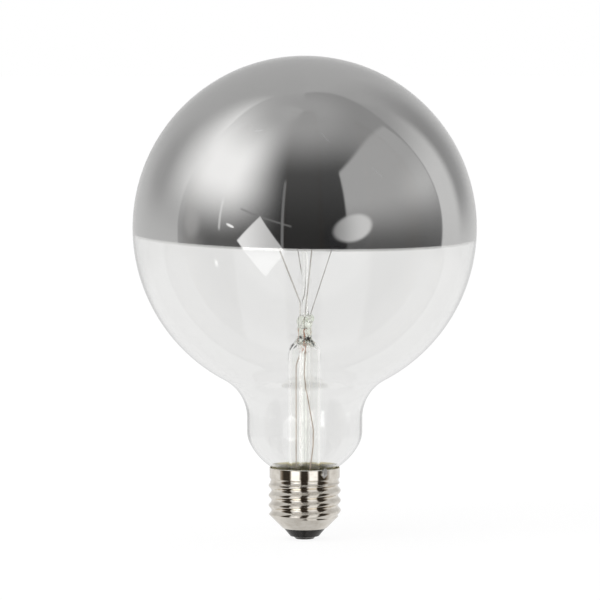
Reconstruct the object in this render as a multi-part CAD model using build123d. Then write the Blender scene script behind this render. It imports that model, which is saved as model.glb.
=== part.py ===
from build123d import *

import os
from math import acos, asin, ceil, cos, degrees, radians, sin, sqrt, tan

# Silver crown bulb: a clear globe lamp, mirrored inside above its equator, on an Edison screw cap.
# Millimetres and degrees. +Z runs up the lamp's axis from the cap to the crown, and the origin is the
# centre of the contact's lower face. Azimuths are counted from +X towards +Y.

# Cap: a rolled shell with a rounded thread, a plain skirt above it and a cone below it
thread_major_d = 26.3
thread_depth = 1.05
thread_pitch = 25.4 / 7
thread_crest_z = 6.8  # where a crest faces +X
shell_wall = 0.25
skirt_step = 0.35  # from the thread's crests in to the skirt
cap_rim_z = 26.1
waist_z = 21.5
waist_depth = 0.45
waist_groove_r = 1.2
shell_bottom_z = 3.9
shell_cone_width = 4.1  # from the thread's roots in to the shell's lower edge
shell_cone_angle = 45.0

# Black glass insulator in the cap's cone, and the contact pressed onto it
insulator_face_r = 5.2
insulator_face_z = 1.0
insulator_top_drop = 1.5  # below the height where the cone meets the thread
insulator_dish = 2.4
insulator_bore_r = 1.2
contact_r = 4.8
contact_flat_r = 3.3
contact_depth = 0.95
contact_bulge = 0.2
contact_wall = 0.3
contact_hole_r = 1.0
centre_solder_depth = 1.3

# Blown glass: a seat inside the cap, a funnel, a short neck and the globe
glass_wall = 0.8
seat_length = 9.7
seat_depth = 1.4  # from the cap's rim down to where the seat turns outwards
seat_fillet_r = 1.5
funnel_slope = 55.0
funnel_run = 1.4
shoulder_slope = 27.0
shoulder_r = 10.4
neck_r = 20.95
neck_length = 4.75
neck_fillet_r = 16.0
globe_r = 62.5

# Mirror film, drawn thicker than the real one so that it is a solid
film_thickness = 0.15
film_gap = 0.04
crown_rim_drop = 2.4  # from the globe's equator down to the film's edge

# Cement between the cap's skirt and the glass seat
cement_depth = 0.5  # from the cap's rim down to the cement
cement_length = 3.0
cement_gap = 0.02

# Stem: a flared tube whose upper end is pinched flat round the leads
stem_r = 5.9
stem_wall = 1.0
stem_shoulder_z = 69.0
stem_ceiling_z = 71.5
press_foot_z = 72.8
press_top_z = 81.5
press_r = 4.6
press_thickness = 3.5
press_azimuth = -66.4  # direction of the flat's width
exhaust_r = 2.0
exhaust_bore_r = 1.3
exhaust_tip_z = 7.0
port_r = 0.7

# Glass arbor that stands on the press, with a bead at its foot and a button at its top
arbor_r = 1.15
bead_r = 1.85
bead_offset = 1.6
bead_drop = 1.1  # from the press's top down to the bead's centre
button_r = 2.6
button_height = 3.2
button_edge_r = 1.2
button_drop = 6.0  # from the filament's plane down to the button's middle

# Filament ring and the wires that hold it
filament_rise = 4.5  # from the globe's centre up to the filament's plane
filament_ring_r = 14.5
filament_start = -75.0
filament_span = 270.0
filament_coil_r = 0.4
support_wire_r = 0.19
support_root = 1.4  # from the middle of its bead or button to where a support starts
eye_gap = 0.05
clamp_length = 1.8
clamp_wall = 0.3
front_support_azimuth = 15.0
back_support_azimuth = 109.0
short_support_azimuths = (-30.0, 60.0, 150.0)

# Leads: soft outer wires, copper-clad seal wires in the press, stiff inner wires above it
outer_lead_r = 0.2
inner_lead_r = 0.28
seal_wire_r = 0.25
wire_gap = 0.2
seal_gap = 0.01
lead_spread = 2.3  # of each lead from the press's middle, along its width
lead_setback = 0.8  # of both leads from the press's middle, across it
seal_bottom_z = 68.3
seal_top_z = 77.0
lead_stub = 0.8  # straight stretch of an outer lead below its seal wire
centre_lead_bend_z = 86.3
side_lead_bend_z = 82.6
lead_bend_r = 2.0
lead_stub_bend_r = 1.0
lead_sweep_r = 4.0
centre_lead_azimuth = 158.0
centre_lead_turn = 1.5  # from the exhaust tube's tip up to where the centre lead turns to the axis
centre_lead_entry = 0.4  # from the insulator's bore up to where it turns down
centre_lead_corner_r = 1.5
centre_lead_end_z = 0.6
side_lead_azimuth = -56.0
side_lead_top_z = 60.0
side_lead_wind_z = 40.0
side_lead_settle_z = 34.0
side_lead_foot_z = 26.0
side_lead_drop = 1.7  # from the flare's lip down to the side lead's lowest run
side_lead_corner_r = 1.8
side_solder_r = 1.1
side_solder_drop = 0.35

thread_major_r = thread_major_d / 2
thread_minor_r = thread_major_r - thread_depth
thread_mean_r = thread_major_r - thread_depth / 2
thread_swing = thread_depth / 2
thread_inner_r = thread_minor_r - shell_wall
skirt_r = thread_major_r - skirt_step
skirt_inner_r = skirt_r - shell_wall
waist_r = skirt_r - waist_depth
cone_widening = tan(radians(shell_cone_angle))
cone_wall_width = shell_wall / cos(radians(shell_cone_angle))
shell_bottom_r = thread_minor_r - shell_cone_width
cone_meets_thread_z = shell_bottom_z + (thread_inner_r - shell_bottom_r + cone_wall_width) / cone_widening
insulator_top_z = cone_meets_thread_z - insulator_top_drop
insulator_bore_top_z = insulator_top_z - insulator_dish
seat_r = thread_inner_r - 2 * (outer_lead_r + wire_gap)
seat_top_z = cap_rim_z - seat_depth
neck_end_z = seat_top_z - seat_length
flare_bend_r = seat_r - glass_wall - stem_r
lead_run_r = (exhaust_r + stem_r - stem_wall) / 2
eye_r = filament_coil_r + eye_gap + support_wire_r


def turned(edges):
    """A solid turned round Z from a closed outline drawn as radius and height."""
    return revolve(Plane.XZ * make_face(edges), Axis.Z)


def turned_polygon(*points):
    return turned(Polyline(*points, close=True).edges())


def post(radius, bottom, top, x=0, y=0):
    """A round post from one height up to another."""
    return Pos(x, y, (bottom + top) / 2) * Cylinder(radius, top - bottom)


def polar(radius, azimuth, height):
    angle = radians(azimuth)
    return Vector(radius * cos(angle), radius * sin(angle), height)


def bent_wire(radius, points, bends):
    """A round wire along straight runs, with one bend radius for each corner."""
    path = FilletPolyline(*points, radius=bends) if bends else Line(*points)
    section = Plane(origin=path @ 0, z_dir=path % 0) * Circle(radius)
    return sweep(section, path)


# Blown glass and its mirror


def along(edge, length):
    """A straight run that carries on from an edge's end."""
    return Line(edge @ 1, edge @ 1 + (edge % 1) * length)


def bulb_outline(inset):
    """The glass's outer outline, or the one that lies inset from it, as tangent lines and arcs."""
    slope = radians(funnel_slope)
    upper_slope = radians(shoulder_slope)
    fillet_width = seat_fillet_r * (1 - cos(slope)) + shoulder_r * (1 - cos(upper_slope))
    arc_width = neck_r - seat_r - fillet_width - funnel_run * sin(slope)
    arc_r = arc_width / (cos(upper_slope) - cos(slope))
    globe_slope = degrees(acos((neck_r + neck_fillet_r) / (globe_r + neck_fillet_r)))

    seat = Line((seat_r - inset, neck_end_z), (seat_r - inset, seat_top_z))
    seat_fillet = JernArc(seat @ 1, seat % 1, seat_fillet_r + inset, -funnel_slope)
    funnel = along(seat_fillet, funnel_run)
    funnel_arc = JernArc(funnel @ 1, funnel % 1, arc_r - inset, funnel_slope - shoulder_slope)
    shoulder = JernArc(funnel_arc @ 1, funnel_arc % 1, shoulder_r - inset, shoulder_slope)
    neck = along(shoulder, neck_length)
    neck_fillet = JernArc(neck @ 1, neck % 1, neck_fillet_r + inset, -globe_slope)
    globe = JernArc(neck_fillet @ 1, neck_fillet % 1, globe_r - inset, globe_slope + 90)
    return [seat, seat_fillet, funnel, funnel_arc, shoulder, neck, neck_fillet, globe]


def bulb_solid(inset):
    edges = bulb_outline(inset)
    crown = edges[-1] @ 1
    foot = edges[0] @ 0
    axis_foot = Vector(0, foot.Y)
    return turned(edges + [Line(crown, axis_foot), Line(axis_foot, foot)])


globe_z = (bulb_outline(0)[-1] @ 1).Y - globe_r
filament_z = globe_z + filament_rise
button_z = filament_z - button_drop
button_middle = Vector(0, 0, button_z)
bead_middle = Vector(bead_offset, 0, press_top_z - bead_drop)


def glass_bulb():
    return bulb_solid(0) - bulb_solid(glass_wall)


def silver_crown():
    """The film on the globe's inner face, from its edge below the equator up to the crown."""
    outer_r = globe_r - glass_wall - film_gap
    arcs = []
    for radius in (outer_r, outer_r - film_thickness):
        edge_angle = degrees(asin(crown_rim_drop / radius))
        arcs.append(CenterArc((0, globe_z), radius, -edge_angle, 90 + edge_angle))
    outer, inner = arcs
    return turned([outer, inner, Line(outer @ 0, inner @ 0), Line(outer @ 1, inner @ 1)])


# Screw cap


def shell_envelope(inset):
    """What bounds the shell's thread: the cone, the waist's groove and the skirt."""
    groove_axis_r = waist_r + waist_groove_r
    groove_r = waist_groove_r + inset
    side_r = skirt_r - inset
    bottom_z = shell_bottom_z - inset
    bottom_r = cone_r(bottom_z) - inset / cos(radians(shell_cone_angle))
    cone_top_z = bottom_z + (groove_axis_r - bottom_r) / cone_widening
    groove_foot = Vector(groove_axis_r, waist_z - groove_r)
    skirt_foot = Vector(side_r, waist_z + sqrt(groove_r**2 - (groove_axis_r - side_r) ** 2))
    groove = ThreePointArc(groove_foot, (waist_r - inset, waist_z), skirt_foot)
    rest = Polyline(
        skirt_foot,
        (side_r, cap_rim_z),
        (0, cap_rim_z),
        (0, bottom_z),
        (bottom_r, bottom_z),
        (groove_axis_r, cone_top_z),
        groove_foot,
    )
    return turned(rest.edges() + [groove])


def cone_r(height):
    """Outer radius of the shell's cone."""
    return shell_bottom_r + (height - shell_bottom_z) * cone_widening


def shell_solid(inset):
    """The shell's outer form, or the one inset from it: its thread is a disc whose centre climbs a helix."""
    turns_below = ceil((thread_crest_z - shell_bottom_z + shell_wall) / thread_pitch)
    start_z = thread_crest_z - turns_below * thread_pitch
    helix = Helix(thread_pitch, waist_z - start_z, thread_swing, center=(0, 0, start_z))
    disc = Pos(thread_swing, 0, start_z) * Circle(thread_mean_r - inset)
    thread = sweep(disc, helix, normal=Vector(0, 0, 1))
    core_foot_r = thread_minor_r - shell_wall - inset
    core_foot_z = waist_z - waist_groove_r
    core_top_r = skirt_r + waist_groove_r - inset
    core = turned_polygon(
        (0, core_foot_z),
        (core_foot_r, core_foot_z),
        (core_top_r, waist_z),
        (core_top_r, cap_rim_z),
        (0, cap_rim_z),
    )
    return (thread + core) & shell_envelope(inset)


def screw_shell():
    return shell_solid(0) - shell_solid(shell_wall)


def contact_form(inset):
    """The contact's dished outer form, or the one inset from it, filled up to the insulator's face."""
    flat_r = contact_flat_r - inset
    side_r = contact_r - inset
    rounding = SagittaArc((flat_r, inset), (side_r, contact_depth), contact_bulge)
    rest = Polyline((side_r, contact_depth), (0, contact_depth), (0, inset), (flat_r, inset))
    return turned(rest.edges() + [rounding])


def centre_contact():
    return contact_form(0) - contact_form(contact_wall) - post(contact_hole_r, 0, contact_depth)


def cap_insulator():
    """Black glass that fills the cap's cone and the contact's dish, with a bore for the centre lead."""
    body = turned_polygon(
        (0, contact_depth),
        (contact_r, contact_depth),
        (insulator_face_r, insulator_face_z),
        (shell_bottom_r - cone_wall_width, shell_bottom_z),
        (cone_r(insulator_top_z) - cone_wall_width, insulator_top_z),
        (insulator_bore_r, insulator_bore_top_z),
        (0, insulator_bore_top_z),
    )
    return body + contact_form(contact_wall) - post(insulator_bore_r, contact_wall, insulator_bore_top_z)


def centre_solder():
    """Solder that fills the contact's hole, flush with its lower face, and the foot of the bore."""
    in_contact = post(contact_hole_r, 0, contact_wall)
    in_bore = post(insulator_bore_r, contact_wall, centre_solder_depth)
    return in_contact + in_bore - outer_lead_centre()


def glass_r_at_rim():
    """Outer radius of the glass funnel where it leaves the cap."""
    slope = radians(funnel_slope)
    run_start_r = seat_r + seat_fillet_r * (1 - cos(slope))
    run_start_z = seat_top_z + seat_fillet_r * sin(slope)
    return run_start_r + (cap_rim_z - run_start_z) * tan(slope)


def capping_cement():
    """A ring of cement between the skirt and the glass, with the side lead's channel through it."""
    top_z = cap_rim_z - cement_depth
    ring = post(skirt_r, top_z - cement_length, top_z) & shell_envelope(shell_wall + cement_gap)
    channel = bent_wire(outer_lead_r + cement_gap, side_lead_rise(), [side_lead_corner_r])
    return ring - bulb_solid(-cement_gap) - channel


def side_solder():
    """A blob over the cap's rim that joins the side lead to the shell."""
    middle = polar(skirt_r, side_lead_azimuth, cap_rim_z - side_solder_drop)
    blob = Pos(middle) * Sphere(side_solder_r)
    return blob - post(skirt_r, 0, cap_rim_z) - bulb_solid(0) - outer_lead_side()


# Stem


def press_point(spread, height):
    """A point in the press where a lead passes, given how far it lies along the press's width."""
    setback = polar(lead_setback, press_azimuth - 90, 0)
    return polar(spread, press_azimuth, height) + setback


def pinch(inset):
    """What the jaws leave of the tube: a wedge that narrows to the press's thickness."""
    half = press_thickness / 2
    wide = stem_r + stem_wall
    outline = Polyline(
        (-wide, stem_shoulder_z),
        (-half, press_foot_z),
        (-half, press_top_z),
        (half, press_top_z),
        (half, press_foot_z),
        (wide, stem_shoulder_z),
        (wide, neck_end_z),
        (-wide, neck_end_z),
        close=True,
    )
    face = offset(make_face(outline.edges()), -inset)
    return Rot(0, 0, press_azimuth) * extrude(Plane.YZ * face, wide, both=True)


def stem_flare():
    """A tube with a flared lip that carries the neck's end, and a press that holds the two leads."""
    bend_z = neck_end_z + flare_bend_r
    lip_r = stem_r + flare_bend_r
    lip_z = neck_end_z - stem_wall
    bore_r = stem_r - stem_wall
    outside = JernArc((lip_r, neck_end_z), (-1, 0), flare_bend_r, -90)
    inside = JernArc((lip_r, lip_z), (-1, 0), flare_bend_r + stem_wall, -90)
    tube_side = Polyline(outside @ 1, (stem_r, stem_shoulder_z), (bore_r, stem_shoulder_z), inside @ 1)
    lip_side = Polyline(outside @ 0, (seat_r, neck_end_z), (seat_r, lip_z), inside @ 0)
    tube = turned([outside, inside] + tube_side.edges() + lip_side.edges())

    shoulder = Spline(
        (stem_r, stem_shoulder_z),
        (press_r, press_foot_z),
        tangents=((0, 1), (0, 1)),
    )
    rest = Polyline((press_r, press_foot_z), (press_r, press_top_z), (0, press_top_z), (0, stem_shoulder_z))
    head = turned([shoulder, Line((0, stem_shoulder_z), (stem_r, stem_shoulder_z))] + rest.edges())
    head = head & pinch(0)
    cavity = turned_polygon(
        (0, stem_shoulder_z),
        (bore_r, stem_shoulder_z),
        (press_r - stem_wall, stem_ceiling_z),
        (0, stem_ceiling_z),
    )
    head -= cavity & pinch(stem_wall)

    port = Pos(0, 0, stem_ceiling_z) * Rot(0, 0, press_azimuth) * Rot(-45, 0, 0) * post(port_r, 0, stem_r)
    stem = tube + head - port - post(exhaust_r, stem_shoulder_z, stem_ceiling_z)
    for spread in (-lead_spread, lead_spread):
        place = press_point(spread, 0)
        seal = post(seal_wire_r + seal_gap, seal_bottom_z, seal_top_z, place.X, place.Y)
        lead = post(inner_lead_r + seal_gap, seal_top_z, press_top_z, place.X, place.Y)
        stem = stem - seal - lead
    return stem


def exhaust_tube():
    """The tube that the lamp was pumped through, melted shut at its lower end."""
    outer_tip = JernArc((0, exhaust_tip_z), (1, 0), exhaust_r, 90)
    inner_tip_z = exhaust_tip_z + exhaust_r - exhaust_bore_r
    inner_tip = JernArc((0, inner_tip_z + stem_wall), (1, 0), exhaust_bore_r, 90)
    top = Polyline(
        outer_tip @ 1,
        (exhaust_r, stem_ceiling_z),
        (exhaust_bore_r, stem_ceiling_z),
        inner_tip @ 1,
    )
    return turned([outer_tip, inner_tip, Line(outer_tip @ 0, inner_tip @ 0)] + top.edges())


def glass_arbor():
    """A rod on the press, with the bead that takes the tall supports and the button for the short ones."""
    rod = post(arbor_r, press_top_z, button_z)
    button = post(button_r, button_z - button_height / 2, button_z + button_height / 2)
    button = fillet(button.edges().filter_by(GeomType.CIRCLE), button_edge_r)
    press_outline = [(0, press_foot_z), (press_r, press_foot_z), (press_r, press_top_z), (0, press_top_z)]
    press = turned_polygon(*press_outline) & pinch(0)
    bead = Pos(bead_middle) * Sphere(bead_r) - press
    arbor = rod + button + bead
    for azimuth in (front_support_azimuth, back_support_azimuth):
        arbor -= support_rod(bead_middle, azimuth, support_wire_r + seal_gap)
    for azimuth in short_support_azimuths:
        arbor -= support_rod(button_middle, azimuth, support_wire_r + seal_gap)
    return arbor


# Filament and the wires that hold it


def ring_plane(azimuth):
    """A plane across the filament's ring, whose normal runs along the ring."""
    return Plane(origin=polar(filament_ring_r, azimuth, filament_z), z_dir=polar(1, azimuth + 90, 0))


def filament():
    """The coiled filament's outer form, a thick wire bent to a horseshoe."""
    ring = CenterArc((0, 0, filament_z), filament_ring_r, filament_start, filament_span)
    return sweep(ring_plane(filament_start) * Circle(filament_coil_r), ring)


def support_rod(root, azimuth, radius):
    """A straight wire from near its root up to the eye that it carries on the filament's ring."""
    ring_point = polar(filament_ring_r, azimuth, filament_z)
    direction = (ring_point - root).normalized()
    return bent_wire(radius, (root + direction * support_root, ring_point - direction * eye_r), [])


def support(root, azimuth):
    """A support wire: its upper end is curled to an eye that the filament runs through."""
    eye = ring_plane(azimuth) * Torus(eye_r, support_wire_r)
    return support_rod(root, azimuth, support_wire_r) + eye


def inner_lead(spread, bend_z, azimuth):
    """A stiff lead from its seal wire up to the clamp that holds one end of the filament."""
    clamp_r = filament_coil_r + eye_gap + clamp_wall
    knee = press_point(spread, bend_z)
    ring_point = polar(filament_ring_r, azimuth, filament_z)
    direction = (ring_point - knee).normalized()
    end = ring_point - direction * (clamp_r - clamp_wall / 2)
    wire = bent_wire(inner_lead_r, (press_point(spread, seal_top_z), knee, end), [lead_bend_r])
    clamp = Cylinder(clamp_r, clamp_length)
    bore = Cylinder(filament_coil_r + eye_gap, clamp_length)
    return wire + ring_plane(azimuth) * clamp - ring_plane(azimuth) * bore


def inner_lead_centre():
    return inner_lead(-lead_spread, centre_lead_bend_z, filament_start + filament_span)


def inner_lead_side():
    return inner_lead(lead_spread, side_lead_bend_z, filament_start)


def seal_wire(spread):
    place = press_point(spread, 0)
    return post(seal_wire_r, seal_bottom_z, seal_top_z, place.X, place.Y)


def outer_lead_centre():
    """A soft lead down the stem, past the exhaust tube's tip and along the axis into the contact."""
    points = [
        press_point(-lead_spread, seal_bottom_z),
        press_point(-lead_spread, seal_bottom_z - lead_stub),
        polar(lead_run_r, centre_lead_azimuth, stem_shoulder_z - stem_r),
        polar(lead_run_r, centre_lead_azimuth, exhaust_tip_z + centre_lead_turn),
        (0, 0, insulator_bore_top_z + centre_lead_entry),
        (0, 0, centre_lead_end_z),
    ]
    bends = [lead_stub_bend_r, lead_sweep_r, centre_lead_corner_r, centre_lead_corner_r]
    return bent_wire(outer_lead_r, points, bends)


def side_lead_rise():
    """The side lead's route up through the cement, from the lowest run to the cap's rim."""
    channel_r = seat_r + wire_gap + outer_lead_r
    return [
        polar(channel_r, side_lead_azimuth, neck_end_z - stem_wall - side_lead_drop),
        polar(channel_r, side_lead_azimuth, waist_z),
        polar((glass_r_at_rim() + skirt_inner_r) / 2, side_lead_azimuth, cap_rim_z),
    ]


def outer_lead_side():
    """A soft lead that winds down the stem, turns under the flare's lip and climbs to the cap's rim."""
    rise = side_lead_rise()
    points = [
        press_point(lead_spread, seal_bottom_z),
        press_point(lead_spread, seal_bottom_z - lead_stub),
        polar(lead_run_r, side_lead_azimuth - 37, side_lead_top_z),
        polar(lead_run_r, side_lead_azimuth + 29, side_lead_wind_z),
        polar(lead_run_r, side_lead_azimuth + 26, side_lead_settle_z),
        polar(lead_run_r, side_lead_azimuth, side_lead_foot_z),
        polar(lead_run_r, side_lead_azimuth, rise[0].Z),
    ]
    bends = [lead_stub_bend_r] + [lead_sweep_r] * 4 + [side_lead_corner_r] * 3
    return bent_wire(outer_lead_r, points + rise, bends)


pieces = {
    "glass_bulb": glass_bulb(),
    "silver_crown": silver_crown(),
    "stem_flare": stem_flare(),
    "exhaust_tube": exhaust_tube(),
    "glass_arbor": glass_arbor(),
    "filament": filament(),
    "support_front": support(bead_middle, front_support_azimuth),
    "support_back": support(bead_middle, back_support_azimuth),
    "inner_lead_centre": inner_lead_centre(),
    "inner_lead_side": inner_lead_side(),
    "seal_wire_centre": seal_wire(-lead_spread),
    "seal_wire_side": seal_wire(lead_spread),
    "outer_lead_centre": outer_lead_centre(),
    "outer_lead_side": outer_lead_side(),
    "screw_shell": screw_shell(),
    "cap_insulator": cap_insulator(),
    "centre_contact": centre_contact(),
    "centre_solder": centre_solder(),
    "side_solder": side_solder(),
    "capping_cement": capping_cement(),
}
for number, azimuth in enumerate(short_support_azimuths, start=1):
    pieces[f"short_support_{number}"] = support(button_middle, azimuth)

os.makedirs("parts", exist_ok=True)
for name, piece in pieces.items():
    export_step(piece, f"parts/{name}.step")
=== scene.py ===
# %% [markdown]
# # A silver crown bulb
# The lamp is a clear glass globe whose upper half is mirrored on the inside, on a nickel-plated screw
# cap. The mirror throws the light back into the room, so nobody looks straight at the filament.
# The CAD model comes first, as a fixed frame, and everything made below is drawn round it. The lamp stands
# on its cap with its axis on +Z. Blender works in metres. Lengths of the lamp are told in mm below, as on
# a workshop drawing, and are turned into metres where a mesh is made.

# %% Load the frame
import bpy
from math import acos, asin, atan2, ceil, cos, degrees, floor, inf, pi, radians, sin, sqrt
from mathutils import Matrix, Vector, noise


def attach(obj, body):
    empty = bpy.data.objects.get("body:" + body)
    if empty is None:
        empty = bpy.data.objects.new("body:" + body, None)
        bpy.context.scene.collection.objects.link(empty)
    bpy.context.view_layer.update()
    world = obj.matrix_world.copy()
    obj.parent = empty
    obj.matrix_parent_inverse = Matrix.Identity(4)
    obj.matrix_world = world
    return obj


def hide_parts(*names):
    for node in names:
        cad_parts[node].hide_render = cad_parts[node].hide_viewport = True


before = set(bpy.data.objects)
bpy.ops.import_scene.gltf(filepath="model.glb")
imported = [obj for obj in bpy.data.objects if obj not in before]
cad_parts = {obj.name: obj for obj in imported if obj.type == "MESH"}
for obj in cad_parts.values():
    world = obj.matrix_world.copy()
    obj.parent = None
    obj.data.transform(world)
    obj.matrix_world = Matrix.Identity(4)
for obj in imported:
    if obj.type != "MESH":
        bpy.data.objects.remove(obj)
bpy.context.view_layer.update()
MM = 0.001
scene = bpy.context.scene

# %% [markdown]
# ## The camera
# The picture was taken with a long lens from well away, a little above the lamp's middle, so upright
# lines stay upright and the mirror's edge shows as a very flat ellipse. A lens is described by the width
# of the field that it sees at the lamp: focal length = sensor width x distance / field width.
# Light gets caught in thick glass and goes round in it many times, so the limits on bounces are high.

# %% Camera
camera_distance = 2.6
field_width = 218.0 * MM
camera_tilt = radians(5.0)
aim = Vector((-1.7 * MM, 0, 87.2 * MM))

lens = bpy.data.cameras.new("long_lens")
lens.sensor_width = 36
lens.lens = lens.sensor_width * camera_distance / field_width
lens.clip_end = 50
camera = bpy.data.objects.new("camera", lens)
camera.location = aim + Vector((0, -cos(camera_tilt), sin(camera_tilt))) * camera_distance
camera.rotation_euler = (pi / 2 - camera_tilt, 0, 0)
scene.collection.objects.link(camera)
scene.camera = camera
scene.view_settings.view_transform = "Standard"
scene.cycles.glossy_bounces = 16
scene.cycles.transmission_bounces = 24
scene.cycles.max_bounces = 32
print("focal length in mm:", round(lens.lens))

# %% [markdown]
# ## Shader maths in plain Python
# A material is a tree of nodes. Wiring every Add and Multiply by hand hides what the tree says, so one
# small class stands for a socket. Arithmetic on it adds the Math nodes, and `node` adds any other node
# from its type, its settings and its sockets.

# %% The socket class
class Wire:
    """One output socket in a node tree, or just the tree while there is no socket yet."""

    def __init__(self, tree, socket=None):
        self.tree = tree
        self.socket = socket

    def node(self, kind, settings=None, sockets=None, output=0):
        made = self.tree.nodes.new("ShaderNode" + kind)
        for name, value in (settings or {}).items():
            setattr(made, name, value)
        for name, value in (sockets or {}).items():
            if isinstance(value, Wire):
                self.tree.links.new(value.socket, made.inputs[name])
            else:
                made.inputs[name].default_value = value
        return Wire(self.tree, made.outputs[output] if made.outputs else None)

    def maths(self, operation, *values):
        return self.node("Math", {"operation": operation}, dict(enumerate(values)))

    def __add__(self, other):
        return self.maths("ADD", self, other)

    def __sub__(self, other):
        return self.maths("SUBTRACT", self, other)

    def __rsub__(self, other):
        return self.maths("SUBTRACT", other, self)

    def __mul__(self, other):
        return self.maths("MULTIPLY", self, other)

    def __truediv__(self, other):
        return self.maths("DIVIDE", self, other)

    def __pow__(self, other):
        return self.maths("POWER", self, other)

    __radd__ = __add__
    __rmul__ = __mul__

    def smooth(self, low, high):
        """0 below low and 1 above high, with a soft step between them."""
        return self.node(
            "MapRange",
            {"interpolation_type": "SMOOTHSTEP"},
            {"Value": self, "From Min": low, "From Max": high},
        )

    def between(self, rise_low, rise_high, fall_low, fall_high):
        """1 between a soft rise and a soft fall, and 0 on both sides of them."""
        return self.smooth(rise_low, rise_high) * (1 - self.smooth(fall_low, fall_high))

    def split(self):
        """The three parts of a vector."""
        parts = self.node("SeparateXYZ", {}, {"Vector": self})
        return [Wire(self.tree, socket) for socket in parts.socket.node.outputs]

    def blend(self, colour_low, colour_high):
        """From one colour to another, as this value goes from 0 to 1."""
        return self.node("Mix", {"data_type": "RGBA"}, {0: self, 6: colour_low, 7: colour_high}, output=2)


def grey(level):
    """A colour with no tint."""
    return (level, level, level, 1)


print("wires add their own Math nodes")

# %% [markdown]
# ## The studio
# A mirror has no colour of its own: all that it shows is the room. So the room is designed like a piece
# of the lamp. Real studios could be built from cards and soft boxes, but a cheaper way is to paint them
# on the sky by direction, because from a lamp this small every card looks far away.
# Directions are told by azimuth, 0 towards the camera and 90 to its right, and by elevation.
# Only paths that were reflected see this painting. Straight views, also through clear glass, see plain
# white, and dull surfaces see an even light.

# %% Directions in the room
room = bpy.data.worlds.new("studio")
scene.world = room
room.use_nodes = True
room.node_tree.nodes.clear()
sky = Wire(room.node_tree)
east, north, up = sky.node("TexCoord", output="Generated").split()
in_degrees = 180 / pi
azimuth = sky.maths("ARCTAN2", east, 0 - north) * in_degrees
elevation = sky.maths("ARCSINE", up) * in_degrees
print("azimuth and elevation take", len(room.node_tree.nodes), "nodes")

# %% [markdown]
# Each thing in the room is one mask and one level, laid over what was there before. A level is easiest to
# judge as the grey that the mirror shows, so `tone` turns such a grey, from 0 to 255, into light, by the
# curve of a standard screen. Masks are told in degrees: where they start, where they are full, and where
# they fall off and end. First come the ceiling, the dark room in front, and the big soft light on the left
# with its glow, whose edge leans over towards the top.

# %% Room and big soft light
film_keeps = 0.87


def tone(shown):
    """The light that shows as this grey in the mirror, which keeps a share of what falls on it."""
    return ((shown / 255 + 0.055) / 1.055) ** 2.4 / film_keeps


def lay(below, mask, level):
    """Covers what is below by a level where the mask is 1."""
    return below + (level - below) * mask


def oval(azimuth_at, elevation_at, half_width, half_height, inside, outside, lean=0.0):
    """1 within an oval in the sky, fading to 0 from its inside share to its outside share."""
    across = (azimuth - azimuth_at) / half_width
    along = (elevation - elevation_at - (azimuth - azimuth_at) * lean) / half_height
    return 1 - sky.maths("SQRT", across * across + along * along).smooth(inside, outside)


ceiling = lay(tone(158), azimuth.smooth(-50, 20), tone(133))
ceiling = lay(ceiling, elevation.smooth(62, 84), tone(150))
dark_front = lay(tone(43), elevation.smooth(-8, 58), tone(75))
dark_front = lay(dark_front, elevation.smooth(38, 76), tone(146))
view = lay(ceiling, azimuth.between(-80, -60, 26, 92), dark_front)
glow = lay(tone(88), elevation.smooth(-6, 32), tone(236))
glow = lay(glow, elevation.smooth(40, 78), tone(158))
halo_lean, halo_middle = 0.5, 38
halo = (azimuth + (elevation - halo_middle) * halo_lean).smooth(-135, -80)
view = lay(view, halo * (1 - azimuth.smooth(-60, -12)), glow)
print("with ceiling and big light:", len(room.node_tree.nodes), "nodes")

# %% [markdown]
# Behind the lamp a white sweep rises to an arch. On its left it catches the big light's glow, and on its
# right it has a bright strip and a shaded one. A small power of the distance from its foot makes an arch:
# it rises fast at first and then hardly at all. On the right stands a tall panel with a rounded top, which
# is a parabola, and the panel fades to dark at its foot.

# %% Sweep and panel
sweep_width = 74
sweep_top = 73
arch_bend = 0.15
sweep_foot = azimuth.smooth(-60, 60) * 11 + 95
past_foot = sky.maths("ABSOLUTE", azimuth) - sweep_foot
arch = sky.maths("MAXIMUM", past_foot / sweep_width, 0) ** arch_bend * sweep_top
sweep_mask = (arch - elevation).smooth(-1.5, 1.5) * past_foot.smooth(-1, 1)
sweep_left = lay(tone(157), oval(-128, 15, 22, 26, 0.1, 1.0), tone(143))
sweep_left = lay(sweep_left, 1 - elevation.smooth(-6, 12), tone(172))
sweep_left = lay(sweep_left, halo * elevation.smooth(-2, 26), tone(236))
strip = lay(tone(189), elevation.smooth(18, 52), tone(145))
shaded = lay(tone(126), elevation.smooth(25, 58), tone(152))
sweep_right = lay(lay(strip, azimuth.smooth(123, 135), shaded), azimuth.smooth(140, 164), tone(158))
sweep_right = lay(sweep_right, 1 - elevation.smooth(-10, 8), tone(184))
sweep_level = lay(sweep_left, azimuth.smooth(-10, 10), sweep_right)
view = lay(view, sweep_mask, sweep_level)

panel_middle, panel_height, panel_rounding = 80, 55, -0.0055
off_panel = azimuth - panel_middle
panel_top = off_panel * off_panel * panel_rounding + panel_height
panel_mask = azimuth.between(27.5, 29.5, 104, 107) * (panel_top - elevation).smooth(-1.5, 2)
panel_glow = oval(100, 20, 38, 17, 0.0, 1.0) * 0.1
panel_level = lay(tone(84), elevation.smooth(-10, 22), tone(155)) + panel_glow
view = lay(view, panel_mask, panel_level)
print("with sweep and panel:", len(room.node_tree.nodes), "nodes")

# %% [markdown]
# In front stand a square soft box on its corner, a round reflector and a lamp stand with its arm. A square
# on its corner is where two distances add up to less than 1, and dividing each by a long length as well
# slants its sides. Small glints of a far light are ovals and a thin tube. All of them are small, and they
# are what makes a mirror believable.

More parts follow.
